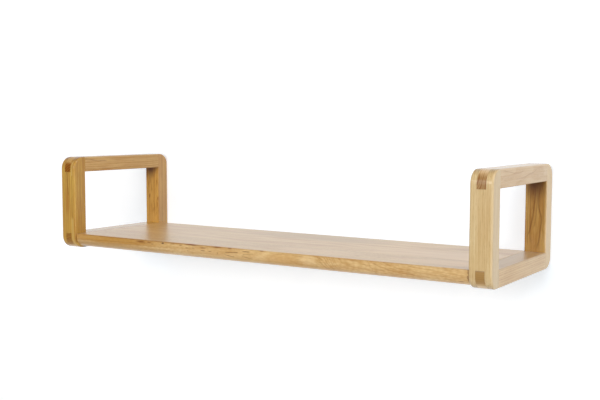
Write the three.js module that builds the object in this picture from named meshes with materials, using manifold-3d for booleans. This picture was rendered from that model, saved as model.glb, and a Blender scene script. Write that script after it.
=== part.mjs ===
// Wall shelf in solid oak: a board carried between two rectangular end frames.
// The frames are joined with corner bridle joints and rounded after glueing, so each tenon shows as a
// block of end grain that follows the round corner. Hidden dowels join the board to the bottom rails,
// and keyhole plates let into the backs of the rear stiles hang the shelf on two wall screws.
// Millimetres. +X runs along the shelf, the wall is on the +Y side and +Z is up. The origin is under
// the middle of the shelf, level with the underside of the frames.
import * as THREE from "three";
import { mergeVertices } from "three/addons/utils/BufferGeometryUtils.js";
import Module from "manifold-3d";

// Overall sizes
const shelfLength = 800;
const shelfDepth = 245;
const frameHeight = 160;

// End frames
const frameThickness = 33;
const stileWidth = 26;
const railHeight = 26;
const cornerRadius = 20;
const arrisRadius = 3;
const windowChamfer = 0.8;
const tenonThickness = 13;

// Shelf board, glued up from staves and set back from the frames at its front, underside and rear
const frontReveal = 3;
const undersideReveal = 3;
const rearSetback = 17;
const boardArris = 1.5;
const staveNames = ["front_stave", "middle_stave", "rear_stave"];

// Dowels between the board's ends and the bottom rails
const dowelDiameter = 8;
const dowelInRail = 18;
const dowelInBoard = 20;
const dowelChamfer = 1;
const dowelsPerStave = 2;

// Keyhole plates and their screws
const plateWidth = 18;
const plateHeight = 50;
const plateThickness = 2;
const plateCornerRadius = 3;
const plateDrop = 34;
const entryDiameter = 10;
const slotWidth = 5;
const keyholeTravel = 15;
const pocketDepth = 8;
const screwInset = 5;
const screwDiameter = 3;
const screwHeadDiameter = 6;
const screwLength = 16;
const recessWidth = 1;
const recessLength = 3.4;
const recessDepth = 1.1;

// Clearances
const glueLine = 0.15;
const dowelClearance = 0.15;
const dowelEndGap = 1;
const plateClearance = 0.3;
const screwClearance = 0.2;
const pocketClearance = 1;

// How finely round shapes are divided: an arc of a quarter turn has twice curveSegments chords
const curveSegments = 5;
const arrisSegments = 4;
const turnSegments = 16;

// How far a cutting shape runs past the face that it cuts
const overrun = 2;

const innerLength = shelfLength - 2 * frameThickness;
const frameCentre = (shelfLength - frameThickness) / 2;
const shoulder = shelfDepth / 2 - stileWidth;
const boardFront = -shelfDepth / 2 + frontReveal;
const boardRear = shelfDepth / 2 - rearSetback;
const boardTop = railHeight;
const boardUnderside = undersideReveal;
const boardFrontRadius = cornerRadius - Math.max(frontReveal, undersideReveal);
const dowelHeight = (boardTop + boardUnderside) / 2;
const plateCentre = frameHeight - railHeight - plateDrop;

const X = new THREE.Vector3(1, 0, 0);
const Y = new THREE.Vector3(0, 1, 0);
const Z = new THREE.Vector3(0, 0, 1);

const wasm = await Module();
wasm.setup();

function toSolid(geometry) {
  const bare = geometry.clone();
  bare.deleteAttribute("normal");
  bare.deleteAttribute("uv");
  const merged = mergeVertices(bare, 1e-4);
  return new wasm.Manifold(
    new wasm.Mesh({
      numProp: 3,
      vertProperties: merged.attributes.position.array,
      triVerts: new Uint32Array(merged.index.array),
    }),
  );
}

function toGeometry(solid) {
  const mesh = solid.getMesh();
  const indexed = new THREE.BufferGeometry();
  indexed.setAttribute("position", new THREE.BufferAttribute(mesh.vertProperties, 3));
  indexed.setIndex(new THREE.BufferAttribute(mesh.triVerts, 1));
  const faceted = indexed.toNonIndexed();
  faceted.computeVertexNormals();
  return faceted;
}

// A shape drawn on the directions u and v and extruded evenly both ways across its plane
function extruded(shape, thickness, u, v) {
  const settings = { depth: thickness, bevelEnabled: false, curveSegments };
  const geometry = new THREE.ExtrudeGeometry(shape, settings);
  geometry.translate(0, 0, -thickness / 2);
  return geometry.applyMatrix4(new THREE.Matrix4().makeBasis(u, v, new THREE.Vector3().crossVectors(u, v)));
}

function box(low, high) {
  const size = high.map((value, i) => value - low[i]);
  const centre = high.map((value, i) => (value + low[i]) / 2);
  return toSolid(new THREE.BoxGeometry(...size).translate(...centre));
}

function roundedRectangle(width, height, radius) {
  const x = width / 2 - radius;
  const y = height / 2 - radius;
  const outline = new THREE.Shape();
  outline.absarc(x, -y, radius, -Math.PI / 2, 0);
  outline.absarc(x, y, radius, 0, Math.PI / 2);
  outline.absarc(-x, y, radius, Math.PI / 2, Math.PI);
  outline.absarc(-x, -y, radius, Math.PI, 1.5 * Math.PI);
  outline.closePath();
  return outline;
}

// An outline from its first quarter, whose three points are mirrored into the other quarters
function fourfold(quarter) {
  const back = [...quarter].reverse();
  const points = [
    ...quarter,
    ...back.map(([a, b]) => [-a, b]),
    ...quarter.map(([a, b]) => [-a, -b]),
    ...back.map(([a, b]) => [a, -b]),
  ];
  return new THREE.Shape(points.map(([a, b]) => new THREE.Vector2(a, b)));
}

// A turned solid about the Y axis, from its half profile
function turned(profile) {
  return new THREE.LatheGeometry(profile.map(([r, y]) => new THREE.Vector2(r, y)), turnSegments);
}

// The rounded outside of a glued-up frame, centred on the frame
function frameEnvelope() {
  const geometry = new THREE.ExtrudeGeometry(roundedRectangle(shelfDepth, frameHeight, cornerRadius), {
    depth: frameThickness - 2 * arrisRadius,
    bevelThickness: arrisRadius,
    bevelSize: arrisRadius,
    bevelOffset: -arrisRadius,
    bevelSegments: arrisSegments,
    curveSegments,
  });
  geometry.translate(0, 0, arrisRadius - frameThickness / 2);
  return toSolid(geometry.applyMatrix4(new THREE.Matrix4().makeBasis(Y, Z, X)));
}

// The cut that eases the edges of the frame's window on the side given by sign. Its walls slope at 45
// degrees: they start inside the window, below the chamfer, and end above the face of the frame.
function windowEasing(sign) {
  const window = roundedRectangle(2 * shoulder, frameHeight - 2 * railHeight, 0);
  const slope = windowChamfer + 2 * overrun;
  const geometry = new THREE.ExtrudeGeometry(window, {
    depth: overrun,
    bevelThickness: slope,
    bevelSize: slope,
    bevelOffset: -overrun,
    bevelSegments: 1,
  });
  const placed = new THREE.Matrix4().makeBasis(Y, Z, X).setPosition(frameThickness / 2 + overrun, 0, 0);
  const side = sign < 0 ? new THREE.Matrix4().makeRotationZ(Math.PI) : new THREE.Matrix4();
  return toSolid(geometry.applyMatrix4(placed).applyMatrix4(side));
}

// A stile: full height, with an open slot at each end for the rails' tenons
function stileBlank(sign) {
  const half = frameThickness / 2 + overrun;
  const slot = tenonThickness / 2 + glueLine;
  const slotFloor = frameHeight / 2 - railHeight - glueLine;
  const end = frameHeight / 2 + overrun;
  const face = fourfold([[half, end], [slot, end], [slot, slotFloor]]);
  const width = stileWidth + overrun;
  const blank = extruded(face, width, X, Z).translate(0, sign * (shelfDepth / 2 + overrun - width / 2), 0);
  return toSolid(blank);
}

// A rail: the thickness of the frame between its shoulders, then a tenon of the rail's full height out
// to the front and to the back of the frame
function railBlank(sign) {
  const half = frameThickness / 2 + overrun;
  const tenon = tenonThickness / 2;
  const end = shelfDepth / 2 + overrun;
  const plan = fourfold([[half, shoulder - glueLine], [tenon, shoulder - glueLine], [tenon, end]]);
  const height = railHeight + overrun;
  const blank = extruded(plan, height, X, Y).translate(0, 0, sign * (frameHeight / 2 + overrun - height / 2));
  return toSolid(blank);
}

// Each dowel's distance along Y: every stave has its own, spread over the part of it that meets the
// rail between the stiles
function dowelPlaces() {
  const places = [];
  for (const [start, end] of staveSpans()) {
    const low = Math.max(start, -shoulder);
    const high = Math.min(end, shoulder);
    for (let i = 0; i < dowelsPerStave; i += 1) {
      places.push(low + ((high - low) * (i + 0.5)) / dowelsPerStave);
    }
  }
  return places;
}

function staveSpans() {
  const width = (boardRear - boardFront) / staveNames.length;
  return staveNames.map((_, i) => [boardFront + i * width, boardFront + (i + 1) * width]);
}

// The holes for one end's dowels, as cylinders along X centred on the joint between board and rail
function dowelHoles(jointX, inner) {
  const radius = dowelDiameter / 2 + dowelClearance;
  const inRail = dowelInRail + dowelEndGap;
  const inBoard = dowelInBoard + dowelEndGap;
  const middle = jointX + (inner * (inBoard - inRail)) / 2;
  return dowelPlaces().map((y) => {
    const hole = new THREE.CylinderGeometry(radius, radius, inRail + inBoard, turnSegments);
    return toSolid(hole.rotateZ(Math.PI / 2).translate(middle, y, dowelHeight));
  });
}

// The board's section across its length: small arrises, and a large round below its front face that
// keeps the same reveal round the frame's corner
function boardSection() {
  const large = boardFrontRadius;
  const small = boardArris;
  const section = new THREE.Shape();
  section.absarc(boardFront + large, boardUnderside + large, large, Math.PI, 1.5 * Math.PI);
  section.absarc(boardRear - small, boardUnderside + small, small, 1.5 * Math.PI, 2 * Math.PI);
  section.absarc(boardRear - small, boardTop - small, small, 0, Math.PI / 2);
  section.absarc(boardFront + small, boardTop - small, small, Math.PI / 2, Math.PI);
  section.closePath();
  return section;
}

// A keyhole plate's hole: a round entry below a slot that ends in a half circle. The origin is midway
// between the centres of the entry and of the slot's end.
function keyhole() {
  const radius = entryDiameter / 2;
  const half = slotWidth / 2;
  const entry = -keyholeTravel / 2;
  const lip = Math.asin(half / radius);
  const path = new THREE.Path();
  path.absarc(0, entry, radius, Math.PI / 2 + lip, Math.PI / 2 - lip + 2 * Math.PI);
  path.absarc(0, keyholeTravel / 2, half, 0, Math.PI);
  path.closePath();
  return path;
}

// A wood screw with a countersunk head, standing on its point, with the face of its head at height 0
function screwProfile(clearance) {
  const head = screwHeadDiameter / 2 + clearance;
  const shank = screwDiameter / 2 + clearance;
  const point = screwDiameter;
  return [
    [0, -screwLength - clearance],
    [shank, -screwLength - clearance + point],
    [shank, shank - head],
    [head, 0],
    [0, 0],
  ];
}

function screwGeometry() {
  const arm = [recessWidth / 2, recessLength / 2];
  let screw = toSolid(turned(screwProfile(0)));
  for (const [x, z] of [arm, [...arm].reverse()]) {
    screw = screw.subtract(box([-x, -recessDepth, -z], [x, overrun, z]));
  }
  return toGeometry(screw);
}

function dowelGeometry() {
  const radius = dowelDiameter / 2;
  const half = (dowelInRail + dowelInBoard) / 2;
  return turned([
    [0, -half],
    [radius - dowelChamfer, -half],
    [radius, dowelChamfer - half],
    [radius, half - dowelChamfer],
    [radius - dowelChamfer, half],
    [0, half],
  ]);
}

// The plate's screws are set in from its two ends
const screwHeights = [-1, 1].map((end) => end * (plateHeight / 2 - screwInset));

// The cut that lets a plate and its screws into the back of a stile, and the deeper pocket behind the
// keyhole for the head of the wall screw. The plate's centre is at the origin, on the stile's back face.
function plateRecess() {
  const grow = 2 * plateClearance;
  const outline = roundedRectangle(plateWidth + grow, plateHeight + grow, plateCornerRadius + plateClearance);
  const depth = plateThickness + glueLine;
  const bed = extruded(outline, depth + overrun, X, Z).translate(0, (overrun - depth) / 2, 0);
  const pocketWidth = entryDiameter + 2 * pocketClearance;
  const pocketHeight = keyholeTravel + pocketWidth;
  const pocketShape = roundedRectangle(pocketWidth, pocketHeight, pocketWidth / 2);
  const fullDepth = plateThickness + pocketDepth;
  const pocket = extruded(pocketShape, fullDepth + overrun, X, Z).translate(0, (overrun - fullDepth) / 2, 0);
  let recess = toSolid(bed).add(toSolid(pocket));
  for (const z of screwHeights) {
    recess = recess.add(toSolid(turned(screwProfile(screwClearance)).translate(0, 0, z)));
  }
  return recess;
}

function plateGeometry() {
  const outline = roundedRectangle(plateWidth, plateHeight, plateCornerRadius);
  outline.holes.push(keyhole());
  let plate = toSolid(extruded(outline, plateThickness, X, Z).translate(0, -plateThickness / 2, 0));
  for (const z of screwHeights) {
    const hole = turned(screwProfile(screwClearance)).translate(0, 0, z);
    const mouth = turned([
      [0, -glueLine],
      [screwHeadDiameter / 2 + screwClearance, -glueLine],
      [screwHeadDiameter / 2 + screwClearance, overrun],
      [0, overrun],
    ]).translate(0, 0, z);
    plate = plate.subtract(toSolid(hole)).subtract(toSolid(mouth));
  }
  return toGeometry(plate);
}

// Colours
const oakColour = 0xcaa36a;
const boardColour = 0xcda878;
const dowelColour = 0xd9b98c;
const zincColour = 0xb9bcc0;

function piece(name, geometry, colour, roughness, metalness) {
  const mesh = new THREE.Mesh(geometry, new THREE.MeshStandardMaterial({ color: colour, roughness, metalness }));
  mesh.name = name;
  return mesh;
}

const oak = (name, solid, colour) => piece(name, toGeometry(solid), colour, 0.5, 0);
const steel = (name, geometry) => piece(name, geometry, zincColour, 0.35, 1);

// One end frame. Side is "left" or "right", and inner is the direction along X from it to the board.
function endFrame(side, inner) {
  const frame = new THREE.Group();
  frame.position.set(-inner * frameCentre, 0, frameHeight / 2);

  const envelope = frameEnvelope();
  const finished = (blank) =>
    blank.intersect(envelope).subtract(windowEasing(1)).subtract(windowEasing(-1));

  const plateZ = plateCentre - frameHeight / 2;
  const recess = plateRecess().translate([0, shelfDepth / 2, plateZ]);
  frame.add(oak(side + "_front_stile", finished(stileBlank(-1)), oakColour));
  frame.add(oak(side + "_rear_stile", finished(stileBlank(1)).subtract(recess), oakColour));
  frame.add(oak(side + "_top_rail", finished(railBlank(1)), oakColour));

  let bottomRail = finished(railBlank(-1));
  for (const hole of dowelHoles((inner * frameThickness) / 2, inner)) {
    bottomRail = bottomRail.subtract(hole.translate([0, 0, -frameHeight / 2]));
  }
  frame.add(oak(side + "_bottom_rail", bottomRail, oakColour));

  const hanger = new THREE.Group();
  hanger.position.set(0, shelfDepth / 2, plateZ);
  hanger.add(steel(side + "_keyhole_plate", plateGeometry()));
  ["lower", "upper"].forEach((place, i) => {
    const screw = steel(side + "_" + place + "_plate_screw", screwGeometry());
    screw.position.set(0, -glueLine, screwHeights[i]);
    hanger.add(screw);
  });
  frame.add(hanger);
  return frame;
}

// The board, its staves glued edge to edge
function shelfBoard() {
  const board = new THREE.Group();
  const length = innerLength - 2 * glueLine;
  const whole = toSolid(extruded(boardSection(), length, Y, Z));
  const holes = [-1, 1].flatMap((end) => dowelHoles((end * innerLength) / 2, -end));
  staveSpans().forEach(([start, end], i) => {
    const low = i > 0 ? start + glueLine / 2 : start - overrun;
    const high = i < staveNames.length - 1 ? end - glueLine / 2 : end + overrun;
    const slab = box([-shelfLength, low, -overrun], [shelfLength, high, frameHeight]);
    const stave = holes.reduce((left, hole) => left.subtract(hole), whole.intersect(slab));
    board.add(oak(staveNames[i], stave, boardColour));
  });
  return board;
}

// The dowels of one end, numbered from the front
function dowelRow(side, inner) {
  const row = new THREE.Group();
  row.position.set((-inner * innerLength) / 2, 0, dowelHeight);
  dowelPlaces().forEach((y, i) => {
    const dowel = piece(side + "_dowel_" + (i + 1), dowelGeometry(), dowelColour, 0.7, 0);
    dowel.rotation.z = Math.PI / 2;
    dowel.position.set((inner * (dowelInBoard - dowelInRail)) / 2, y, 0);
    row.add(dowel);
  });
  return row;
}

const wallShelf = new THREE.Group();
wallShelf.add(shelfBoard());
for (const [side, inner] of [["left", 1], ["right", -1]]) {
  wallShelf.add(endFrame(side, inner));
  wallShelf.add(dowelRow(side, inner));
}

export default wallShelf;
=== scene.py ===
"""A wall shelf in clear-finished oak, hung on a white wall and lit by soft boxes."""

import math

import bpy
from mathutils import Matrix, Vector


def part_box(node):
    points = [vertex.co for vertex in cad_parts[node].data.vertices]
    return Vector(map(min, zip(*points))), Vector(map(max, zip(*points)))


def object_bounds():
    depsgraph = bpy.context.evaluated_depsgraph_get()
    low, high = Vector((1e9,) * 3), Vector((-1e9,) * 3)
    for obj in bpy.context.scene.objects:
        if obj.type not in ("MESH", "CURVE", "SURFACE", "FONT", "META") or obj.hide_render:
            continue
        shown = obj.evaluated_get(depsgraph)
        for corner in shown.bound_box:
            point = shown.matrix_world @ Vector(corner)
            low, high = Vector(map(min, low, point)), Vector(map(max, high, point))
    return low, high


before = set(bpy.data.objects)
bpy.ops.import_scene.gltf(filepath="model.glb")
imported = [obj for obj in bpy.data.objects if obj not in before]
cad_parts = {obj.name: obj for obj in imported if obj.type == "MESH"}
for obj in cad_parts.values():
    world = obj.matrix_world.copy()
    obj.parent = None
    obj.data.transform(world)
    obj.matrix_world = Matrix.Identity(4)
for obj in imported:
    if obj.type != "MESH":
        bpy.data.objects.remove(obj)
cad_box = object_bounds()

# The camera: where it stands in metres, which way it looks, and its lens on a 36 mm wide sensor
CAMERA_PLACE = (0.83744, -1.26052, 0.21871)
CAMERA_TURN = 32.876
CAMERA_TILT = 4.714
CAMERA_ROLL = 0.096
LENS_MM = 55.41
SENSOR_MM = 36.0

# The room, in metres: the wall stands just behind the shelf, and the floor lies well below it
WALL_GAP = 0.0006
WALL_WIDTH = 9.0
WALL_TOP = 3.2
FLOOR_DROP = 1.15
FLOOR_SIZE = 9.0

# How pale wall and floor are: their tones, what the camera sees them add, and what a mirror shows of the
# wall. Near the shelf the wall adds a cooler light, over this reach, because the oak throws a warm one
WALL_TONE = (0.985, 0.985, 0.985)
WALL_GLOW = (0.320, 0.320, 0.320)
WALL_GLOW_NEAR = (0.250, 0.316, 0.380)
WALL_NEAR_REACH = (0.06, 1.0, 0.19)
WALL_MIRRORED = (0.94, 0.94, 0.94)
FLOOR_TONE = (0.87, 0.87, 0.87)
FLOOR_GLOW = (0.40, 0.40, 0.40)

# The light: soft boxes aimed at the shelf from a distance, by where they stand in degrees, their size in
# metres and how brightly they light a surface that faces them; and an even surround, which the finish
# mirrors less brightly than white
SURROUND = 0.30
SURROUND_MIRRORED = 0.35
LIGHT_AIM = Vector((0.0, 0.0, 0.08))
LIGHT_DISTANCE = 2.6
SOFT_BOXES = {
    "front": {"azimuth": 7, "elevation": 9.5, "size": (1.6, 0.6), "level": 0.33},
    "front_upper": {"azimuth": 0, "elevation": 22, "size": (0.8, 0.6), "level": 0.08},
    "front_left": {"azimuth": -20, "elevation": 23, "size": (0.6, 0.55), "level": 0.04},
    "low_right": {"azimuth": 58, "elevation": -8, "size": (0.8, 0.6), "level": 0.09},
    "side": {"azimuth": 85, "elevation": 15, "size": (1.0, 0.8), "level": 0.115},
    "upper_side": {"azimuth": 80, "elevation": 45, "size": (1.0, 0.8), "level": 0.17},
    "overhead": {"azimuth": 48, "elevation": 62, "size": (1.0, 0.8), "level": 0.14},
    "behind": {"azimuth": 200, "elevation": -9, "size": (1.4, 0.7), "level": 0.30},
}

# How smooth the rounds look: edges that turn by less than this are shaded as one surface
MERGE_DISTANCE = 1e-6
ROUND_ANGLE = math.radians(31)
FLAT_ANGLE = math.radians(0.2)


def linear(hex_colour):
    """A colour written as rrggbb, as the linear values that a shader takes, by the sRGB curve."""
    values = []
    for i in (0, 2, 4):
        v = int(hex_colour[i:i + 2], 16) / 255
        values.append(v / 12.92 if v <= 0.04045 else ((v + 0.055) / 1.055) ** 2.4)
    return (*values, 1.0)


# A curve that is nearly flat is spread over no less than this
FLATTEST_CURVE = 1e-6


class Graph:
    """Adds nodes to a node tree. An input is a plain value or the output socket that feeds it."""

    def __init__(self, tree):
        self.tree = tree

    def add(self, kind, inputs=None, **settings):
        node = self.tree.nodes.new("ShaderNode" + kind)
        for name, value in settings.items():
            setattr(node, name, value)
        for name, value in (inputs or {}).items():
            self.feed(node.inputs[name], value)
        return node

    def feed(self, socket, value):
        if isinstance(value, bpy.types.NodeSocket):
            self.tree.links.new(value, socket)
        else:
            socket.default_value = value

    def math(self, operation, a, b=0.0):
        return self.add("Math", {0: a, 1: b}, operation=operation).outputs[0]

    def vector(self, operation, a, b=(0.0, 0.0, 0.0)):
        return self.add("VectorMath", {0: a, 1: b}, operation=operation).outputs[0]

    def scaled(self, vector, factor):
        inputs = {"Vector": vector, "Scale": factor}
        return self.add("VectorMath", inputs, operation="SCALE").outputs[0]

    def step(self, value, low, high):
        """0 below low, 1 above high and smooth between. With low above high it falls instead."""
        inputs = {"Value": value, "From Min": low, "From Max": high}
        return self.add("MapRange", inputs, interpolation_type="SMOOTHSTEP").outputs["Result"]

    def ranged(self, value, low, high):
        """Spreads 0 to 1 over low to high."""
        inputs = {"Value": value, "To Min": low, "To Max": high}
        return self.add("MapRange", inputs).outputs["Result"]

    def mixed(self, factor, a, b):
        """Mixes two plain values."""
        return self.add("Mix", {0: factor, 2: a, 3: b}, data_type="FLOAT").outputs[0]

    def mix(self, factor, a, b):
        """Mixes two colours."""
        return self.add("Mix", {0: factor, 6: a, 7: b}, data_type="RGBA").outputs[2]

    def noise(self, place, size, detail=2.0, roughness=0.5):
        """Noise whose features are about the given size, in metres, along each axis."""
        scaled = self.vector("DIVIDE", place, size)
        inputs = {"Vector": scaled, "Scale": 1.0, "Detail": detail, "Roughness": roughness}
        return self.add("TexNoise", inputs)

    def curve(self, value, stops):
        """A smooth curve through the stops. Each is a value and the result there."""
        places, results = zip(*stops)
        low, high = min(results), max(results)
        spread = max(high - low, FLATTEST_CURVE)
        inputs = {"Value": value, "From Min": places[0], "From Max": places[-1]}
        part = self.add("MapRange", inputs).outputs["Result"]
        node = self.add("FloatCurve", {"Value": part})
        points = node.mapping.curves[0].points
        while len(points) < len(stops):
            points.new(0.5, 0.5)
        for point, (place, result) in zip(points, stops):
            at = (place - places[0]) / (places[-1] - places[0])
            point.location = (at, (result - low) / spread)
        node.mapping.update()
        return self.ranged(node.outputs[0], low, high)

    def cells(self, place, size):
        """Voronoi cells of about the given size, in metres, along each axis."""
        scaled = self.vector("DIVIDE", place, size)
        return self.add("TexVoronoi", {"Vector": scaled, "Scale": 1.0})


# The figure of oak, in metres along the grain and across it
WANDER_SIZE = (0.16, 0.040, 0.040)
RIPPLE_SIZE = (0.030, 0.010, 0.010)
RIPPLE_SHARE = 0.12
STREAK_SIZE = (0.110, 0.0042, 0.0042)
CLOUD_SIZE = (0.085, 0.018, 0.018)
FIBRE_SIZE = (0.045, 0.0013, 0.0013)
DASH_SIZE = (0.011, 0.0012, 0.0012)
BEAD_SIZE = (0.0062, 0.0030, 0.0030)
PORE_SIZE = (0.0060, 0.0006, 0.0006)
RAY_SIZE = (0.012, 0.0010, 0.008)

# Growth rings: how they differ in width, where in a ring the early wood is full and where it fades, how
# weak it is in the weakest ring, and how much of it there is on average
RING_CHANGE = 0.37
RING_UNEVENNESS = 1.6
EARLY_START = (0.0, 0.12)
EARLY_FADE = (0.70, 0.14)
WEAKEST_RING = 0.25
EARLY_AVERAGE = 0.22

# Pores, dashes and rays: where the noise that makes them starts to show and is full, how many of the pores
# and dashes lie in late wood, and how much paler a ray is
PORE_EDGE = (0.36, 0.16)
DASH_EDGE = (0.55, 0.72)
RAY_EDGE = (0.30, 0.16)
LATE_PORES = 0.12
LATE_DASHES = 0.30
RAY_PALENESS = 0.10

# End grain: how much early wood it shows on average, and how dark it is there
END_EARLY_AVERAGE = 0.25
END_DARKNESS = 0.4

# The surface: how rough it is, what pores and end grain add, and how deep fibres and rings lie where a
# pore's depth is 1
WOOD_ROUGHNESS = (0.30, 0.44)
PORE_ROUGHNESS = 0.22
END_ROUGHNESS = 0.08
FIBRE_RELIEF = 0.25
RING_RELIEF = 0.15

# How much lighter or darker than its tone the wood gets, for red, green and blue
LIGHT_SHARE = (1.25, 1.43, 1.70)
DARK_SHARE = (0.76, 0.56, 0.25)
DEEP_SHARE = (0.50, 0.33, 0.12)


def figure_group():
    """Sawn oak: growth rings round the pith of the tree, pores along the grain and rays across it."""
    tree = bpy.data.node_groups.new("oak_figure", "ShaderNodeTree")
    sockets = {
        "Place": "Vector", "Seed": "Vector", "Pith": "Vector", "Wander": "Float", "Ring Width": "Float",
        "Rings": "Float", "Streaks": "Float", "Clouds": "Float", "Fibres": "Float", "Beads": "Float",
        "Dashes": "Float", "Pores": "Float", "Light": "Color", "Dark": "Color", "Deep": "Color",
        "End": "Float", "End Rings": "Float", "End Light": "Color", "End Dark": "Color",
    }
    for name, kind in sockets.items():
        tree.interface.new_socket(name=name, in_out="INPUT", socket_type="NodeSocket" + kind)
    for name, kind in {"Color": "Color", "Roughness": "Float", "Height": "Float"}.items():
        tree.interface.new_socket(name=name, in_out="OUTPUT", socket_type="NodeSocket" + kind)
    g = Graph(tree)
    given = tree.nodes.new("NodeGroupInput").outputs
    place = g.vector("ADD", given["Place"], given["Seed"])

    # Where the point lies from the pith, whose line wanders through the piece
    wander = g.vector("SUBTRACT", g.noise(place, WANDER_SIZE, 1.0).outputs["Color"], (0.5, 0.5, 0.5))
    ripple = g.vector("SUBTRACT", g.noise(place, RIPPLE_SIZE, 2.0).outputs["Color"], (0.5, 0.5, 0.5))
    drift = g.vector("ADD", wander, g.scaled(ripple, RIPPLE_SHARE))
    drift = g.scaled(drift, g.math("MULTIPLY", given["Wander"], 2.0))
    spot = g.vector("SUBTRACT", g.vector("ADD", given["Place"], drift), given["Pith"])
    spot = g.vector("MULTIPLY", spot, (0.0, 1.0, 1.0))
    radius = g.add("VectorMath", {0: spot}, operation="LENGTH").outputs["Value"]

    # Growth rings: porous early wood starts each ring and fades into dense late wood
    count = g.math("DIVIDE", radius, given["Ring Width"])
    change = {"W": g.math("MULTIPLY", count, RING_CHANGE), "Scale": 1.0, "Detail": 1.0}
    uneven = g.add("TexNoise", change, noise_dimensions="1D").outputs["Fac"]
    count = g.math("ADD", count, g.math("MULTIPLY", uneven, RING_UNEVENNESS))
    phase = g.math("FRACT", count)
    number = g.math("FLOOR", count)
    vigour = g.add("TexWhiteNoise", {"W": number}, noise_dimensions="1D").outputs["Value"]
    early = g.math("MULTIPLY", g.step(phase, *EARLY_START), g.step(phase, *EARLY_FADE))
    early = g.math("MULTIPLY", early, g.ranged(vigour, WEAKEST_RING, 1.0))

    # Pores are short open vessels along the grain, and dashes are groups of them, most in the early wood
    vessel = g.cells(place, PORE_SIZE).outputs["Distance"]
    pores = g.math("MULTIPLY", g.step(vessel, *PORE_EDGE), g.ranged(early, LATE_PORES, 1.0))
    dash = g.noise(place, DASH_SIZE, 1.0).outputs["Fac"]
    dashes = g.math("MULTIPLY", g.step(dash, *DASH_EDGE), g.ranged(early, LATE_DASHES, 1.0))

    # Finer and coarser figure that follows no ring
    fibre = g.noise(place, FIBRE_SIZE, 2.0, 0.6).outputs["Fac"]
    streak = g.noise(place, STREAK_SIZE, 2.0, 0.6).outputs["Fac"]
    cloud = g.noise(place, CLOUD_SIZE, 2.0).outputs["Fac"]
    bead = g.cells(place, BEAD_SIZE).outputs["Distance"]

    # Rays are thin sheets that run out from the pith
    parts = g.add("SeparateXYZ", {0: spot}).outputs
    angle = g.math("ARCTAN2", parts[2], parts[1])
    around = g.math("MULTIPLY", angle, radius)
    along = g.add("SeparateXYZ", {0: given["Place"]}).outputs[0]
    polar = g.add("CombineXYZ", {0: along, 1: around, 2: radius}).outputs[0]
    sheet = g.cells(g.vector("ADD", polar, given["Seed"]), RAY_SIZE).outputs["Distance"]
    rays = g.step(sheet, *RAY_EDGE)

    # How dark the wood is, from 0 to 1, and a half on average
    dark = g.math("MULTIPLY", g.math("SUBTRACT", early, EARLY_AVERAGE), given["Rings"])
    for amount, name in ((streak, "Streaks"), (cloud, "Clouds"), (fibre, "Fibres"), (bead, "Beads")):
        part = g.math("MULTIPLY", g.math("SUBTRACT", amount, 0.5), given[name])
        dark = g.math("ADD", dark, part)
    dark = g.math("SUBTRACT", dark, g.math("MULTIPLY", rays, RAY_PALENESS))
    dark = g.add("Clamp", {"Value": g.math("ADD", dark, 0.5)}).outputs[0]
    colour = g.mix(dark, given["Light"], given["Dark"])
    colour = g.mix(g.math("MULTIPLY", dashes, given["Dashes"]), colour, given["Deep"])
    colour = g.mix(g.math("MULTIPLY", pores, given["Pores"]), colour, given["Deep"])
    end_dark = g.math("MULTIPLY", g.math("SUBTRACT", early, END_EARLY_AVERAGE), given["End Rings"])
    end_dark = g.add("Clamp", {"Value": g.math("ADD", end_dark, END_DARKNESS)}).outputs[0]
    colour = g.mix(given["End"], colour, g.mix(end_dark, given["End Light"], given["End Dark"]))

    # The surface
    rough = g.math("ADD", g.math("MULTIPLY", pores, PORE_ROUGHNESS), g.ranged(fibre, *WOOD_ROUGHNESS))
    rough = g.math("ADD", rough, g.math("MULTIPLY", given["End"], END_ROUGHNESS))
    height = g.math("SUBTRACT", g.math("MULTIPLY", fibre, FIBRE_RELIEF), pores)
    height = g.math("SUBTRACT", height, g.math("MULTIPLY", early, RING_RELIEF))

    out = tree.nodes.new("NodeGroupOutput").inputs
    g.feed(out["Color"], colour)
    g.feed(out["Roughness"], rough)
    g.feed(out["Height"], height)
    return tree


# The finish: a clear coat over wood that itself mirrors little, and pores and fibres that show as relief
COAT = 1.0
COAT_ROUGHNESS = 0.2
UNDER_COAT = 0.15
OAK_IOR = 1.5
BUMP_DEPTH = 0.00007
BUMP_STRENGTH = 0.6

# Marks and lines are stirred a little, so that none has a plain outline: by noise of this size, this far
STIR_SIZE = (0.012, 0.003, 0.003)
STIR = (0.0060, 0.0018, 0.0018)

# A mark starts at its outline, 1, and is full at the second value. A line fades over a share of its length
MARK_EDGE = (1.0, 0.25)
LINE_FADE = 0.12

# How far a face has to turn to the grain before end grain shows and is full, and before its coat changes
END_GRAIN_FROM = 0.55
END_GRAIN_FULL = 0.95
DRY_END_FROM = 0.10
DRY_END_FULL = 0.50

# How a piece's seed is spread over the three axes of the noise
SEED_SPREAD = (1.0, 0.37, 0.61)

# For each direction of the grain, the axes along it and across it
GRAIN_AXES = {"X": (0, 1, 2), "Y": (1, 0, 2), "Z": (2, 0, 1)}


def new_material(name):
    material = bpy.data.materials.new(name)
    material.use_nodes = True
    material.node_tree.nodes.clear()
    return material


def shade_of(tone, share):
    return (*(min(v * s, 1.0) for v, s in zip(linear(tone), share)), 1.0)


def bent_pith(g, along, bend):
    """The pith's line where it bends: its places across the grain at places along the piece."""
    first = g.curve(along, [(at, place[0]) for at, place in bend])
    second = g.curve(along, [(at, place[1]) for at, place in bend])
    return g.add("CombineXYZ", {1: first, 2: second}).outputs[0]


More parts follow.
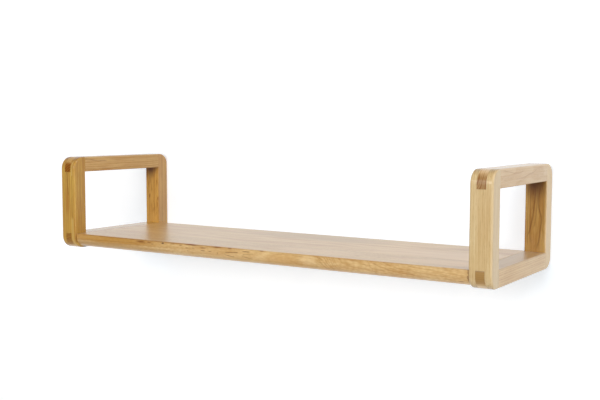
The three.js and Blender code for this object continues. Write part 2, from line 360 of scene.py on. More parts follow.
def marked(g, place, colour, marks):
    """Marks in the wood, and patches of painted shade and light: each one's middle and size in metres, its
    strength and its colour.
    """
    for middle, size, strength, tone in marks:
        spot = g.vector("DIVIDE", g.vector("SUBTRACT", place, middle), size)
        away = g.add("VectorMath", {0: spot}, operation="LENGTH").outputs["Value"]
        colour = g.mix(g.math("MULTIPLY", g.step(away, *MARK_EDGE), strength), colour, linear(tone))
    return colour


def lined(g, place, colour, lines):
    """Curved lines in the wood, and painted highlights: the axis across, places along and across, width,
    strength and colour.
    """
    parts = g.add("SeparateXYZ", {0: place}).outputs
    for axis, stops, width, strength, tone in lines:
        away = g.math("ABSOLUTE", g.math("SUBTRACT", parts[axis], g.curve(parts[0], stops)))
        first = stops[0][0]
        last = stops[-1][0]
        fade = (last - first) * LINE_FADE
        start = g.step(parts[0], first, first + fade)
        finish = g.step(parts[0], last, last - fade)
        ends = g.math("MULTIPLY", start, finish)
        near = g.math("MULTIPLY", g.step(away, width, 0.0), ends)
        colour = g.mix(g.math("MULTIPLY", near, strength), colour, linear(tone))
    return colour


def oak_material(node, figure, grain, seed, tone, end, pith=(), bend=(), marks=(), lines=(), ring=0.0030,
                 wander=0.0045, rings=0.35, streaks=0.8, clouds=0.5, fibres=0.5, beads=0.0, dashes=0.35,
                 pores=0.35, end_rings=1.1, end_from=END_GRAIN_FROM, coat=COAT,
                 end_coat=COAT, sheen=COAT_ROUGHNESS):
    """The oak of one CAD node. The pith is the tree's centre, across the grain from the piece's middle."""
    material = new_material("oak_" + node)
    g = Graph(material.node_tree)
    low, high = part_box(node)
    middle = (low + high) / 2
    axes = GRAIN_AXES[grain]
    coordinates = g.add("TexCoord").outputs
    place = g.vector("SUBTRACT", coordinates["Object"], tuple(middle))
    parts = g.add("SeparateXYZ", {0: place}).outputs
    along = parts[axes[0]]
    place = g.add("CombineXYZ", {i: parts[axis] for i, axis in enumerate(axes)}).outputs[0]
    facing = g.add("SeparateXYZ", {0: coordinates["Normal"]}).outputs[axes[0]]
    facing = g.math("ABSOLUTE", facing)
    end_grain = g.step(facing, end_from, END_GRAIN_FULL)
    if end_coat != coat:
        coat = g.ranged(g.step(facing, DRY_END_FROM, DRY_END_FULL), coat, end_coat)
    seed = tuple(share * seed for share in SEED_SPREAD)
    centre = bent_pith(g, along, bend) if bend else (0.0, *pith)
    group = g.add("Group", node_tree=figure)
    values = {
        "Place": place, "Seed": seed, "Pith": centre, "Wander": wander,
        "Ring Width": ring, "Rings": rings, "Streaks": streaks, "Clouds": clouds, "Fibres": fibres,
        "Beads": beads, "Dashes": dashes, "Pores": pores, "End": end_grain, "End Rings": end_rings,
        "Light": shade_of(tone, LIGHT_SHARE), "Dark": shade_of(tone, DARK_SHARE),
        "Deep": shade_of(tone, DEEP_SHARE), "End Light": shade_of(end, LIGHT_SHARE),
        "End Dark": shade_of(end, DARK_SHARE),
    }
    for name, value in values.items():
        g.feed(group.inputs[name], value)
    stir = g.noise(g.vector("ADD", place, seed), STIR_SIZE, 2.0).outputs["Color"]
    stir = g.vector("MULTIPLY", g.vector("SUBTRACT", stir, (0.5, 0.5, 0.5)), STIR)
    stirred = g.vector("ADD", place, stir)
    colour = marked(g, stirred, group.outputs["Color"], marks)
    colour = lined(g, stirred, colour, lines)
    relief = {"Strength": BUMP_STRENGTH, "Distance": BUMP_DEPTH, "Height": group.outputs["Height"]}
    shader = g.add("BsdfPrincipled", {
        "Base Color": colour, "Roughness": group.outputs["Roughness"],
        "Normal": g.add("Bump", relief).outputs[0], "IOR": OAK_IOR, "Specular IOR Level": UNDER_COAT,
        "Coat Weight": coat, "Coat Roughness": sheen,
    })
    g.add("OutputMaterial", {"Surface": shader.outputs[0]})
    return material


# Beech, whose grain runs along X: its tones from pale to dark, and the sizes of its flecks and streaks
BEECH_TONES = ("dcc096", "c79f70")
BEECH_FLECK_TONE = "a87c4e"
BEECH_FLECK_SIZE = (0.0025, 0.0005, 0.0005)
BEECH_FLECK_EDGE = (0.34, 0.16)
BEECH_FLECK_STRENGTH = 0.5
BEECH_STREAK_SIZE = (0.03, 0.0012, 0.0012)
BEECH_ROUGHNESS = (0.55, 0.7)
BEECH_BUMP_DEPTH = 0.00005
BEECH_BUMP_STRENGTH = 0.5


def beech_material():
    """Pale beech for the hidden dowels, whose grain runs along X."""
    material = new_material("beech")
    g = Graph(material.node_tree)
    place = g.add("TexCoord").outputs["Object"]
    fleck = g.step(g.cells(place, BEECH_FLECK_SIZE).outputs["Distance"], *BEECH_FLECK_EDGE)
    fleck = g.math("MULTIPLY", fleck, BEECH_FLECK_STRENGTH)
    streak = g.noise(place, BEECH_STREAK_SIZE, 2.0).outputs["Fac"]
    colour = g.mix(streak, *(linear(tone) for tone in BEECH_TONES))
    colour = g.mix(fleck, colour, linear(BEECH_FLECK_TONE))
    relief = {"Strength": BEECH_BUMP_STRENGTH, "Distance": BEECH_BUMP_DEPTH, "Height": streak}
    shader = g.add("BsdfPrincipled", {
        "Base Color": colour, "Roughness": g.ranged(streak, *BEECH_ROUGHNESS),
        "Normal": g.add("Bump", relief).outputs[0],
    })
    g.add("OutputMaterial", {"Surface": shader.outputs[0]})
    return material


# Zinc plate: how many crystals there are to a metre, the sizes of its rolling marks and scuffs, their tones
ZINC_CRYSTALS = 420.0
ZINC_CRYSTAL_TONE = "8d9196"
ZINC_CRYSTAL_STRENGTH = 0.25
ZINC_ROLL_SIZE = (0.0003, 0.0003, 0.02)
ZINC_SCUFF_SIZE = (0.004, 0.004, 0.004)
ZINC_SCUFF_EDGE = (0.5, 0.7)
ZINC_SCUFF_TONE = "d9dbdc"
ZINC_SCUFF_STRENGTH = 0.3
ZINC_SCUFF_ROUGHNESS = 0.12
ZINC_ROUGHNESS = (0.26, 0.42)
ZINC_BUMP_DEPTH = 0.00002
ZINC_BUMP_STRENGTH = 0.3
ZINC_PLATE_TINT = "b9bcc0"
ZINC_SCREW_TINT = "c9c6b4"


def zinc_material(name, tint):
    """Zinc-plated steel with faint crystals, rolling marks up and down and small scuffs."""
    material = new_material(name)
    g = Graph(material.node_tree)
    place = g.add("TexCoord").outputs["Object"]
    crystal = g.add("TexVoronoi", {"Vector": place, "Scale": ZINC_CRYSTALS}).outputs["Color"]
    spangle = g.add("SeparateXYZ", {0: crystal}).outputs[0]
    spangle = g.math("MULTIPLY", spangle, ZINC_CRYSTAL_STRENGTH)
    rolled = g.noise(place, ZINC_ROLL_SIZE, 2.0).outputs["Fac"]
    scuff = g.step(g.noise(place, ZINC_SCUFF_SIZE, 3.0, 0.6).outputs["Fac"], *ZINC_SCUFF_EDGE)
    colour = g.mix(spangle, linear(tint), linear(ZINC_CRYSTAL_TONE))
    colour = g.mix(g.math("MULTIPLY", scuff, ZINC_SCUFF_STRENGTH), colour, linear(ZINC_SCUFF_TONE))
    rough = g.math("MULTIPLY", scuff, ZINC_SCUFF_ROUGHNESS)
    rough = g.math("ADD", g.ranged(rolled, *ZINC_ROUGHNESS), rough)
    relief = {"Strength": ZINC_BUMP_STRENGTH, "Distance": ZINC_BUMP_DEPTH, "Height": rolled}
    shader = g.add("BsdfPrincipled", {
        "Base Color": colour, "Metallic": 1.0, "Roughness": rough,
        "Normal": g.add("Bump", relief).outputs[0],
    })
    g.add("OutputMaterial", {"Surface": shader.outputs[0]})
    return material


# Marks and lines in the wood, and the painted shade, light and highlights among them, are placed from the
# middle of their piece. Axis 0 runs along the grain, and 1 and 2 across it, in the order of GRAIN_AXES.
# A mark has its middle, its half size, its strength and its colour.
# A line has the axis that it is drawn across, its places along and across the grain, its width, its
# strength and its colour.

# Where faces lie from the middle of their piece. On a stile's front and at the edge's arris, the marks are
# placed just under the surface
FRAME_SIDE = 0.0165
STILE_FRONT = -0.0125
RAIL_TOP = 0.0130
EDGE_FACE = -0.0375
EDGE_ARRIS = 0.0112
BOARD_TOP = 0.0115

# How deep marks go: flecks, patches that stay clear of the next face, and broad patches
FLECK_DEPTH = 0.010
SHALLOW_DEPTH = 0.012
STAIN_DEPTH = 0.015
DEEP_DEPTH = 0.020
PATCH_DEPTH = 0.030

# A mark that tints one whole face lies just outside it and fades under it
TINT_OUTSIDE = 0.00175
TINT_DEPTH = 0.0050
TINT_REACH = 0.50


def marks_on(axis, face, depth, *rows):
    """Marks on one face: the axis across it, where it lies and how deep they go.

    Each row has a mark's place along and across the face, its half length and width, its strength and its
    colour.
    """
    marks = []
    for along, across, length, width, strength, tone in rows:
        if axis == 1:
            marks.append(((along, face, across), (length, depth, width), strength, tone))
        else:
            marks.append(((along, across, face), (length, width, depth), strength, tone))
    return marks


def tinted_side(side, strength, tone):
    """A mark that tints a whole side face of a frame's piece: 1 for its right side, -1 for its left."""
    middle = (0.0, side * (FRAME_SIDE + TINT_OUTSIDE), 0.0)
    return middle, (TINT_REACH, TINT_DEPTH, TINT_REACH), strength, tone


def tinted_top(strength, tone):
    """A mark that tints the whole top face of a rail."""
    middle = (0.0, 0.0, RAIL_TOP + TINT_OUTSIDE)
    return middle, (TINT_REACH, TINT_REACH, TINT_DEPTH), strength, tone


LEFT_FRONT_MARKS_AND_PAINTED_SHADE = (
    *marks_on(
        2, STILE_FRONT, FLECK_DEPTH,
        (0.004, -0.0010, 0.036, 0.0060, 0.60, "ac6a14"),
        (-0.040, 0.0020, 0.030, 0.0050, 0.30, "cc9a34"),
    ),
    *marks_on(
        2, STILE_FRONT, DEEP_DEPTH,
        (0.070, 0.0000, 0.016, 0.0300, 0.40, "b07c34"),
    ),
    # Painted shade: a darker strip on the stile's inner round in front of the board's end, and a near-black
    # spot low on its inner side under the board's end
    ((-0.0720, 0.0162, -0.0112), (0.0260, 0.0024, 0.0028), 0.80, "74480f"),
    ((-0.0800, 0.0165, 0.0115), (0.0040, 0.0040, 0.0120), 1.00, "120a04"),
)
LEFT_FRONT_LINES_AND_PAINTED_HIGHLIGHTS = (
    (1, ((0.010, 0.0010), (0.030, -0.0005), (0.058, -0.0030)), 0.0012, 0.70, "80500c"),
    (1, ((-0.066, 0.0105), (0.000, 0.0098), (0.052, 0.0102)), 0.0009, 0.40, "8a5a12"),
    # Painted highlights: two light bands on the front face beside its inner round, low down and near the
    # top, where the round catches the lamps
    (1, ((-0.092, 0.0104), (-0.060, 0.0104), (-0.024, 0.0090)), 0.0046, 0.65, "dcb664"),
    (1, ((0.045, 0.0095), (0.058, 0.0098), (0.074, 0.0100)), 0.0018, 0.70, "e0bc70"),
    (1, ((-0.050, -0.0095), (0.000, -0.0105), (0.050, -0.0095)), 0.0008, 0.35, "8a5a12"),
    (2, ((-0.070, -0.0040), (0.000, -0.0030), (0.060, -0.0045)), 0.0009, 0.45, "8c6430"),
    (2, ((-0.070, 0.0020), (0.010, 0.0005), (0.070, 0.0015)), 0.0009, 0.45, "8c6430"),
    (2, ((-0.075, 0.0070), (0.000, 0.0060), (0.060, 0.0075)), 0.0008, 0.40, "8c6430"),
    (2, ((-0.095, 0.0130), (0.000, 0.0130), (0.060, 0.0130)), 0.0026, 0.50, "84563c"),
)
LEFT_TOP_LINES = (
    (2, ((-0.104, 0.0110), (-0.086, 0.0085), (-0.066, 0.0060), (-0.040, 0.0050)), 0.0011, 0.60, "8a5028"),
    (2, ((-0.096, 0.0050), (-0.078, 0.0055), (-0.060, 0.0030), (-0.030, 0.0015)), 0.0010, 0.45, "965a1c"),
    (2, ((-0.070, -0.0060), (-0.020, -0.0075), (0.050, -0.0065)), 0.0010, 0.30, "965a1c"),
    (2, ((-0.110, -0.0125), (0.000, -0.0125), (0.110, -0.0125)), 0.0016, 0.35, "7c5430"),
)
# Painted shade: near-black along the rail's lower inner round, under the board's end
LEFT_BOTTOM_PAINTED_SHADE = (
    ((-0.0965, 0.0165, -0.0130), (0.0160, 0.0040, 0.0040), 1.00, "120a04"),
)
LEFT_REAR_MARKS_AND_PAINTED_SHADING = (
    *marks_on(
        2, STILE_FRONT, FLECK_DEPTH,
        (-0.002, -0.0070, 0.0070, 0.0018, 0.80, "964a04"),
        (-0.007, 0.0140, 0.0060, 0.0017, 0.78, "964a04"),
        (0.025, 0.0120, 0.0085, 0.0015, 0.65, "a05a06"),
        (-0.018, 0.0120, 0.0100, 0.0013, 0.65, "a05a06"),
        (0.012, -0.0020, 0.0120, 0.0012, 0.50, "a05a06"),
        (0.030, -0.0060, 0.0100, 0.0016, 0.50, "a05a06"),
        (-0.030, 0.0020, 0.0080, 0.0012, 0.45, "a05a06"),
    ),
    # Painted shade: the top of the front face darker, where the top rail shades it
    *marks_on(
        2, STILE_FRONT, SHALLOW_DEPTH,
        (0.062, -0.0060, 0.0360, 0.0240, 1.00, "7c4c1a"),
    ),
    # Painted light: the lower part of the front face lighter, away from the top rail's shade
    *marks_on(
        2, STILE_FRONT, FLECK_DEPTH,
        (-0.062, 0.0, 0.0400, 0.0400, 0.75, "eab65a"),
    ),
    tinted_side(1, 0.60, "c09a68"),
)
LEFT_REAR_LINES = (
    (2, ((-0.060, -0.0020), (0.000, -0.0030), (0.060, -0.0015)), 0.0009, 0.40, "8c6438"),
    (2, ((-0.060, 0.0060), (0.000, 0.0070), (0.060, 0.0055)), 0.0009, 0.45, "8c6438"),
)
RIGHT_FRONT_MARKS = (
    tinted_side(1, 0.60, "e0c69a"),
)
RIGHT_REAR_MARKS_AND_PAINTED_SHADE = (
    # Painted shade: the top of the front face dark, where the top rail shades it
    ((0.066, -0.002, -0.013), (0.050, 0.028, 0.012), 0.90, "562e02"),
    tinted_side(1, 1.00, "e9cc9f"),
)
RIGHT_REAR_LINES = (
    (1, ((-0.034, -0.0140), (-0.016, -0.0075), (0.012, -0.0030), (0.054, 0.0000)), 0.0021, 0.54, "6e3c08"),
    (1, ((-0.052, 0.0010), (-0.019, 0.0080), (-0.004, 0.0088), (0.018, 0.0044), (0.050, 0.0060)), 0.0021,
     0.54, "6e3c08"),
    (1, ((-0.020, -0.0045), (0.006, 0.0010), (0.030, 0.0022), (0.060, 0.0030)), 0.0015, 0.38, "76440c"),
    (1, ((-0.045, -0.0060), (0.010, -0.0085), (0.050, -0.0080)), 0.0015, 0.38, "76440c"),
    (1, ((-0.050, -0.0115), (0.000, -0.0125), (0.045, -0.0120)), 0.0012, 0.35, "76440c"),
    (1, ((-0.040, 0.0125), (0.010, 0.0118), (0.045, 0.0122)), 0.0012, 0.40, "76440c"),
)
RIGHT_TOP_LINES = (
    (2, ((-0.0945, 0.0110), (-0.058, 0.0070), (-0.034, 0.0047), (-0.010, 0.0063), (-0.003, 0.0100)), 0.0012,
     0.45, "a8743c"),
    (2, ((-0.042, -0.0037), (-0.010, -0.0025), (0.014, 0.0004), (0.038, 0.0042), (0.049, 0.0090)), 0.0012,
     0.45, "a8743c"),
)
RIGHT_BOTTOM_MARKS = (
    tinted_side(-1, 0.90, "f0dcb8"),
    tinted_top(0.65, "b08e64"),
)
FRONT_EDGE_LINES = (
    (2, ((0.128, 0.0120), (0.131, 0.0090), (0.139, -0.0015), (0.152, -0.0110)), 0.0021, 0.32, "ac6c1c"),
    (2, ((0.140, 0.0120), (0.143, 0.0090), (0.149, -0.0010), (0.160, -0.0100)), 0.0021, 0.32, "ac6c1c"),
    (2, ((0.149, 0.0120), (0.152, 0.0090), (0.157, 0.0000), (0.166, -0.0090)), 0.0018, 0.26, "ac6c1c"),
    (2, ((0.212, 0.0120), (0.216, 0.0080), (0.223, -0.0040), (0.230, -0.0100)), 0.0020, 0.28, "ac6c1c"),
    (2, ((-0.0415, 0.0008), (-0.0385, 0.0030), (-0.030, 0.0042), (-0.014, 0.0050)), 0.0012, 0.80, "8e5a14"),
    (2, ((-0.0415, 0.0010), (-0.0385, -0.0008), (-0.033, -0.0018), (-0.022, -0.0026)), 0.0011, 0.70,
     "8e5a14"),
    (2, ((-0.008, 0.0005), (-0.0045, 0.0026), (0.004, 0.0040), (0.016, 0.0048)), 0.0011, 0.50, "96641c"),
    (2, ((-0.008, 0.0008), (-0.0045, -0.0012), (0.003, -0.0024), (0.014, -0.0034)), 0.0011, 0.50, "96641c"),
    (2, ((-0.400, 0.0020), (-0.300, 0.0035), (-0.180, 0.0060)), 0.0010, 0.45, "9a6422"),
    (2, ((-0.380, -0.0040), (-0.300, -0.0015), (-0.200, 0.0025)), 0.0009, 0.35, "9a6c34"),
)
FRONT_EDGE_MARKS_AND_PAINTED_SHADE = (
    *marks_on(
        1, EDGE_FACE, PATCH_DEPTH,
        (-0.310, 0.0002, 0.170, 0.0055, 0.36, "c2924a"),
        (-0.290, 0.0065, 0.185, 0.0085, 0.72, "c08620"),
        (-0.300, -0.0060, 0.215, 0.0080, 0.62, "ba8b44"),
    ),
    *marks_on(
        1, EDGE_FACE, SHALLOW_DEPTH,
        (-0.020, 0.0000, 0.150, 0.0200, 0.36, "f4d094"),
    ),
    *marks_on(
        1, EDGE_FACE, PATCH_DEPTH,
        (0.070, 0.0000, 0.050, 0.0160, 0.35, "c88a34"),
        (0.113, 0.0030, 0.020, 0.0120, 0.45, "f4d49c"),
    ),
    ((-0.200, EDGE_FACE, EDGE_ARRIS), (0.330, 0.0022, 0.0022), 0.70, "9c6418"),
    ((0.200, EDGE_FACE, EDGE_ARRIS), (0.260, 0.0020, 0.0020), 0.45, "ac7834"),
    *marks_on(
        1, EDGE_FACE, PATCH_DEPTH,
        (0.040, -0.0075, 0.200, 0.0075, 0.35, "c08e2d"),
    ),
    *marks_on(
        1, EDGE_FACE, FLECK_DEPTH,
        (-0.216, 0.0078, 0.0150, 0.0022, 0.85, "8a4c06"),
        (-0.198, 0.0080, 0.0060, 0.0018, 0.70, "8a4c06"),
        (-0.191, 0.0056, 0.0040, 0.0014, 0.60, "8a4c06"),
        (-0.168, 0.0086, 0.0044, 0.0019, 1.00, "542a06"),
        (-0.146, 0.0092, 0.0070, 0.0012, 0.60, "8a4c06"),
        (-0.131, 0.0080, 0.0050, 0.0012, 0.55, "8a4c06"),
        (-0.108, 0.0104, 0.0200, 0.0019, 0.85, "844606"),
        (-0.117, 0.0046, 0.0045, 0.0013, 0.60, "8a4c06"),
        (-0.105, 0.0054, 0.0035, 0.0012, 0.55, "8a4c06"),
        (-0.117, 0.0002, 0.0030, 0.0011, 0.50, "8a4c06"),
        (-0.084, 0.0072, 0.0080, 0.0016, 0.60, "8a4c06"),
        (-0.084, 0.0026, 0.0055, 0.0013, 0.60, "8a4c06"),
        (-0.070, 0.0024, 0.0045, 0.0013, 0.60, "8a4c06"),
        (-0.055, 0.0102, 0.0130, 0.0017, 0.75, "8a4c06"),
        (-0.055, 0.0010, 0.0012, 0.0028, 0.60, "8e5a14"),
        (-0.031, 0.0104, 0.0060, 0.0014, 0.65, "8a4c06"),
        (0.001, 0.0074, 0.0105, 0.0014, 0.80, "8a5410"),
        (0.030, 0.0106, 0.0060, 0.0013, 0.60, "8a4c06"),
        (0.355, -0.0060, 0.0080, 0.0015, 0.85, "8a4c06"),
        # Painted shade: a dark band at the edge's right end, next to the right frame
        (0.3665, 0.0, 0.0022, 0.060, 0.70, "84561e"),
    ),
    *marks_on(
        2, BOARD_TOP, SHALLOW_DEPTH,
        (0.100, 0.0040, 0.100, 0.034, 0.48, "f3c994"),
        (0.320, 0.0040, 0.120, 0.034, 0.66, "f3c994"),
    ),
)
MIDDLE_STAVE_MARKS = marks_on(
    2, BOARD_TOP, STAIN_DEPTH,
    (0.310, 0.0, 0.170, 0.070, 0.60, "f6d1a3"),
)
REAR_STAVE_MARKS = marks_on(
    2, BOARD_TOP, STAIN_DEPTH,
    (0.020, 0.0, 0.190, 0.070, 0.52, "b4905a"),
)

# The pith under the shelf's front edge, from its left end to its right, where it swings past a knot
FRONT_EDGE_PITH = (
    (-0.367, (-0.018, 0.000)),
    (-0.073, (-0.019, 0.001)),
    (0.015, (-0.024, 0.002)),
    (0.110, (-0.031, 0.000)),
    (0.176, (-0.006, -0.002)),
    (0.264, (-0.004, -0.022)),
    (0.367, (-0.002, -0.030)),
)

# How each piece of oak was cut and finished:
# grain and seed: the axis that the grain runs along, and the piece's place in the noise
# pith or bend: where the tree's centre lies across the grain, straight or bent
# tone and end: the colour of its long grain and of its end grain
# ring and wander: how wide a growth ring is and how far the pith strays, in metres
# rings, streaks, clouds, fibres, beads, dashes, pores and end_rings: how strongly each of these shows
# coat, end_coat and sheen: the weight of its clear coat, also on its ends, and how rough the coat is
# end_from: how far a face turns to the grain before end grain starts to show
TIMBER = {
    "right_front_stile": dict(
        grain="Z", seed=1.3, pith=(0.085, 0.02), tone="d6b986", end="b08d58",
        rings=0.25, streaks=0.3, clouds=0.5, fibres=0.6, dashes=0.5,
        marks=RIGHT_FRONT_MARKS,
    ),
    "right_rear_stile": dict(
        grain="Z", seed=2.9, pith=(0.002, 0.006), tone="be9148", end="b08d58",
        ring=0.0050, wander=0.006, rings=0.5, streaks=1.1, fibres=1.0, dashes=0.5, coat=0.60,
        marks=RIGHT_REAR_MARKS_AND_PAINTED_SHADE, lines=RIGHT_REAR_LINES,
    ),
    "right_top_rail": dict(
        grain="Y", seed=4.1, pith=(-0.062, 0.002), tone="d9b685", end="9e733f",
        ring=0.0036, wander=0.010, rings=0.35, streaks=0.3,
        lines=RIGHT_TOP_LINES,
    ),
    "right_bottom_rail": dict(
        grain="Y", seed=5.7, pith=(-0.005, 0.090), tone="d9b683", end="a47a3b",
        wander=0.003, rings=0.5, streaks=0.4, end_rings=0.3, sheen=0.36,
        marks=RIGHT_BOTTOM_MARKS,
    ),
    "left_front_stile": dict(
        grain="Z", seed=6.3, pith=(0.05, -0.07), tone="c3943b", end="955f0c",
        streaks=0.8, clouds=1.0, fibres=1.3,
        marks=LEFT_FRONT_MARKS_AND_PAINTED_SHADE, lines=LEFT_FRONT_LINES_AND_PAINTED_HIGHLIGHTS,
    ),
    "left_rear_stile": dict(
        grain="Z", seed=7.7, pith=(0.01, 0.06), tone="d9a248", end="955f0c",
        streaks=1.6, clouds=1.5, fibres=1.6, dashes=1.0,
        marks=LEFT_REAR_MARKS_AND_PAINTED_SHADING, lines=LEFT_REAR_LINES,
    ),
    "left_top_rail": dict(
        grain="Y", seed=8.9, pith=(0.02, -0.03), tone="cca05d", end="8e5204",
        ring=0.0040, streaks=1.2, fibres=1.1, end_rings=2.0, end_from=0.78, end_coat=0.25,
        lines=LEFT_TOP_LINES,
    ),
    "left_bottom_rail": dict(
        grain="Y", seed=9.1, pith=(0.02, -0.08), tone="c8984a", end="9a6512",
        marks=LEFT_BOTTOM_PAINTED_SHADE,
    ),
    "front_stave": dict(
        grain="X", seed=10.3, bend=FRONT_EDGE_PITH, tone="d8b074", end="f0dcb8",
        ring=0.0026, wander=0.003, rings=0.28, streaks=0.5, clouds=0.9, fibres=0.7, beads=0.45,
        dashes=0.5, sheen=0.32,
        marks=FRONT_EDGE_MARKS_AND_PAINTED_SHADE, lines=FRONT_EDGE_LINES,
    ),
    "middle_stave": dict(
        grain="X", seed=12.1, pith=(0.02, -0.07), tone="dcb276", end="f0dcb8",
        rings=0.5, streaks=0.9, clouds=1.1, fibres=0.8, sheen=0.32,
        marks=MIDDLE_STAVE_MARKS,
    ),
    "rear_stave": dict(
        grain="X", seed=13.9, pith=(-0.03, 0.08), tone="dcb276", end="f0dcb8",
        rings=0.5, streaks=0.9, clouds=1.1, fibres=0.8, sheen=0.32,
        marks=REAR_STAVE_MARKS,
    ),
}


def dress_cad():
    figure = figure_group()
    beech = beech_material()
    plate = zinc_material("zinc_plate", ZINC_PLATE_TINT)
    screw = zinc_material("zinc_screw", ZINC_SCREW_TINT)
    for name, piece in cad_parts.items():
        if name in TIMBER:
            material = oak_material(name, figure, **TIMBER[name])
        elif "_dowel_" in name:
            material = beech
        elif name.endswith("_screw"):
            material = screw
        else:
            material = plate
        piece.data.materials.clear()
        piece.data.materials.append(material)
        shade_rounds(piece)


def rounding_group():
    """Merges the facets' corners, and shades flat faces flat and rounds smooth."""
    tree = bpy.data.node_groups.new("shade_rounds", "GeometryNodeTree")
    for way in ("INPUT", "OUTPUT"):
        tree.interface.new_socket(name="Geometry", in_out=way, socket_type="NodeSocketGeometry")
    nodes, links = tree.nodes, tree.links
    given = nodes.new("NodeGroupInput")
    merge = nodes.new("GeometryNodeMergeByDistance")
    merge.inputs["Distance"].default_value = MERGE_DISTANCE
    smooth = nodes.new("GeometryNodeSetShadeSmooth")
    angle = nodes.new("GeometryNodeInputMeshEdgeAngle")
    small = nodes.new("FunctionNodeCompare")
    small.operation = "LESS_THAN"
    small.inputs[1].default_value = ROUND_ANGLE
    edges = nodes.new("GeometryNodeSetShadeSmooth")
    edges.domain = "EDGE"
    out = nodes.new("NodeGroupOutput")
    links.new(given.outputs[0], merge.inputs["Geometry"])
    links.new(merge.outputs[0], smooth.inputs["Geometry"])
    links.new(smooth.outputs[0], edges.inputs["Geometry"])
    links.new(angle.outputs["Unsigned Angle"], small.inputs[0])
    links.new(small.outputs[0], edges.inputs["Shade Smooth"])
    links.new(edges.outputs[0], out.inputs[0])
    return tree


def shade_rounds(piece):
    mesh = piece.data
    if "custom_normal" in mesh.attributes:
        mesh.attributes.remove(mesh.attributes["custom_normal"])
    weld = piece.modifiers.new("rounds", "NODES")
    weld.node_group = bpy.data.node_groups.get("shade_rounds") or rounding_group()
    dissolve = piece.modifiers.new("flat_faces", "DECIMATE")
    dissolve.decimate_type = "DISSOLVE"
    dissolve.angle_limit = FLAT_ANGLE
    weighted = piece.modifiers.new("weighted_normals", "WEIGHTED_NORMAL")
    weighted.keep_sharp = True


def emission(g, colour):
    return g.add("Emission", {"Color": colour, "Strength": 1.0}).outputs[0]


def near_shelf(g):
    """1 on the wall behind the shelf, where the oak throws warm light on it, and less farther away."""
    middle = (cad_box[0] + cad_box[1]) / 2
    place = g.vector("SUBTRACT", g.add("TexCoord").outputs["Object"], tuple(middle))
    away = g.vector("SUBTRACT", g.vector("ABSOLUTE", place), tuple(cad_box[1] - middle))
    away = g.vector("DIVIDE", g.vector("MAXIMUM", away), WALL_NEAR_REACH)
    away = g.add("VectorMath", {0: g.vector("MULTIPLY", away, (1.0, 0.0, 1.0))}, operation="LENGTH")
    return g.math("EXPONENT", g.math("MULTIPLY", away.outputs["Value"], -1.0))


def floor_material():
    """Matt and pale. It takes soft shadows, and throws no more light on the shelf than its tone gives."""
    material = new_material("floor_white")
    g = Graph(material.node_tree)
    matt = g.add("BsdfDiffuse", {"Color": (*FLOOR_TONE, 1.0)}).outputs[0]
    pale = g.add("AddShader", {0: matt, 1: emission(g, (*FLOOR_GLOW, 1.0))}).outputs[0]
    seen = g.add("LightPath").outputs["Is Camera Ray"]
    g.add("OutputMaterial", {"Surface": g.add("MixShader", {0: seen, 1: matt, 2: pale}).outputs[0]})
    return material


def wall_material():
    """Matt white that takes soft shadows. Seen from behind it is clear, and no light stops at it."""
    material = new_material("wall_white")
    g = Graph(material.node_tree)
    matt = g.add("BsdfDiffuse", {"Color": (*WALL_TONE, 1.0)})
    glow = g.mix(near_shelf(g), (*WALL_GLOW, 1.0), (*WALL_GLOW_NEAR, 1.0))
    shown = g.add("AddShader", {0: matt.outputs[0], 1: emission(g, glow)}).outputs[0]
    rays = g.add("LightPath").outputs
    mirrored = g.math("MAXIMUM", rays["Is Glossy Ray"], rays["Is Transmission Ray"])
    shown = g.add("MixShader", {0: mirrored, 1: shown, 2: emission(g, (*WALL_MIRRORED, 1.0))}).outputs[0]
    front = g.math("SUBTRACT", 1.0, g.add("NewGeometry").outputs["Backfacing"])
    seen = g.math("MULTIPLY", g.math("MAXIMUM", rays["Is Camera Ray"], mirrored), front)
    open_air = g.add("BsdfTransparent").outputs[0]
    surface = g.add("MixShader", {0: seen, 1: open_air, 2: shown}).outputs[0]
    g.add("OutputMaterial", {"Surface": surface})
    return material


def plane(name, corners, material):
    """A flat piece of the room, which is stage and not part of the shelf."""
    mesh = bpy.data.meshes.new(name)
    mesh.from_pydata(corners, [], [(0, 1, 2, 3)])
    piece = bpy.data.objects.new(name, mesh)
    bpy.context.scene.collection.objects.link(piece)
    mesh.materials.append(material)


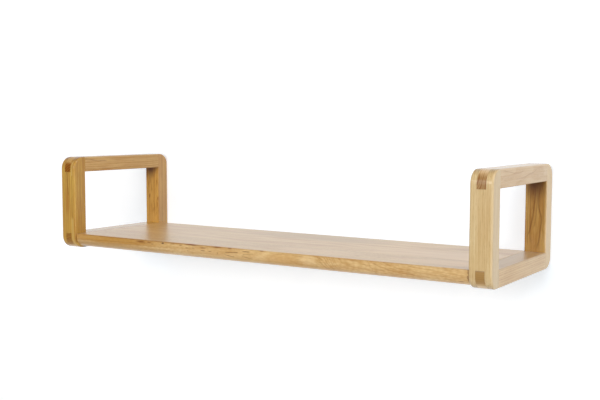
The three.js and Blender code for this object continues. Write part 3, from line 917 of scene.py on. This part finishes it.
def room():
    floor_z = cad_box[0].z - FLOOR_DROP
    wall_y = cad_box[1].y + WALL_GAP
    half = WALL_WIDTH / 2
    corners = [
        (-half, wall_y, floor_z), (half, wall_y, floor_z),
        (half, wall_y, WALL_TOP), (-half, wall_y, WALL_TOP),
    ]
    plane("wall", corners, wall_material())
    half = FLOOR_SIZE / 2
    corners = [
        (-half, -half, floor_z), (half, -half, floor_z),
        (half, half, floor_z), (-half, half, floor_z),
    ]
    plane("floor", corners, floor_material())


def surround():
    """An even white surround. It lights at a plain level, and what looks straight at it sees white."""
    world = bpy.data.worlds.new("surround")
    bpy.context.scene.world = world
    world.use_nodes = True
    world.node_tree.nodes.clear()
    g = Graph(world.node_tree)
    rays = g.add("LightPath").outputs
    plain = g.math("MAXIMUM", rays["Is Camera Ray"], rays["Is Transmission Ray"])
    strength = g.mixed(rays["Is Glossy Ray"], SURROUND, SURROUND_MIRRORED)
    strength = g.mixed(plain, strength, 1.0)
    white = g.add("Background", {"Color": (1.0, 1.0, 1.0, 1.0), "Strength": strength})
    g.add("OutputWorld", {"Surface": white.outputs[0]})


def soft_box(name, azimuth, elevation, size, level):
    """A rectangular lamp. Azimuth 0 stands in front of the shelf and 90 to its right."""
    light = bpy.data.lights.new(name, "AREA")
    light.shape = "RECTANGLE"
    light.size, light.size_y = size
    light.energy = level * (math.pi * LIGHT_DISTANCE) ** 2
    lamp = bpy.data.objects.new(name, light)
    bpy.context.scene.collection.objects.link(lamp)
    turn = math.radians(azimuth)
    rise = math.radians(elevation)
    towards = Vector((math.sin(turn) * math.cos(rise), -math.cos(turn) * math.cos(rise), math.sin(rise)))
    lamp.location = LIGHT_AIM + LIGHT_DISTANCE * towards
    lamp.rotation_euler = towards.to_track_quat("Z", "Y").to_euler()


def camera():
    data = bpy.data.cameras.new("camera")
    data.lens = LENS_MM
    data.sensor_width = SENSOR_MM
    eye = bpy.data.objects.new("camera", data)
    bpy.context.scene.collection.objects.link(eye)
    turn = Matrix.Rotation(math.radians(CAMERA_TURN), 4, "Z")
    tilt = Matrix.Rotation(math.radians(90 - CAMERA_TILT), 4, "X")
    roll = Matrix.Rotation(math.radians(CAMERA_ROLL), 4, "Z")
    eye.matrix_world = Matrix.Translation(CAMERA_PLACE) @ turn @ tilt @ roll
    bpy.context.scene.camera = eye


camera()
dress_cad()
room()
surround()
for name, box in SOFT_BOXES.items():
    soft_box(name, **box)
bpy.context.scene.view_settings.view_transform = "Standard"
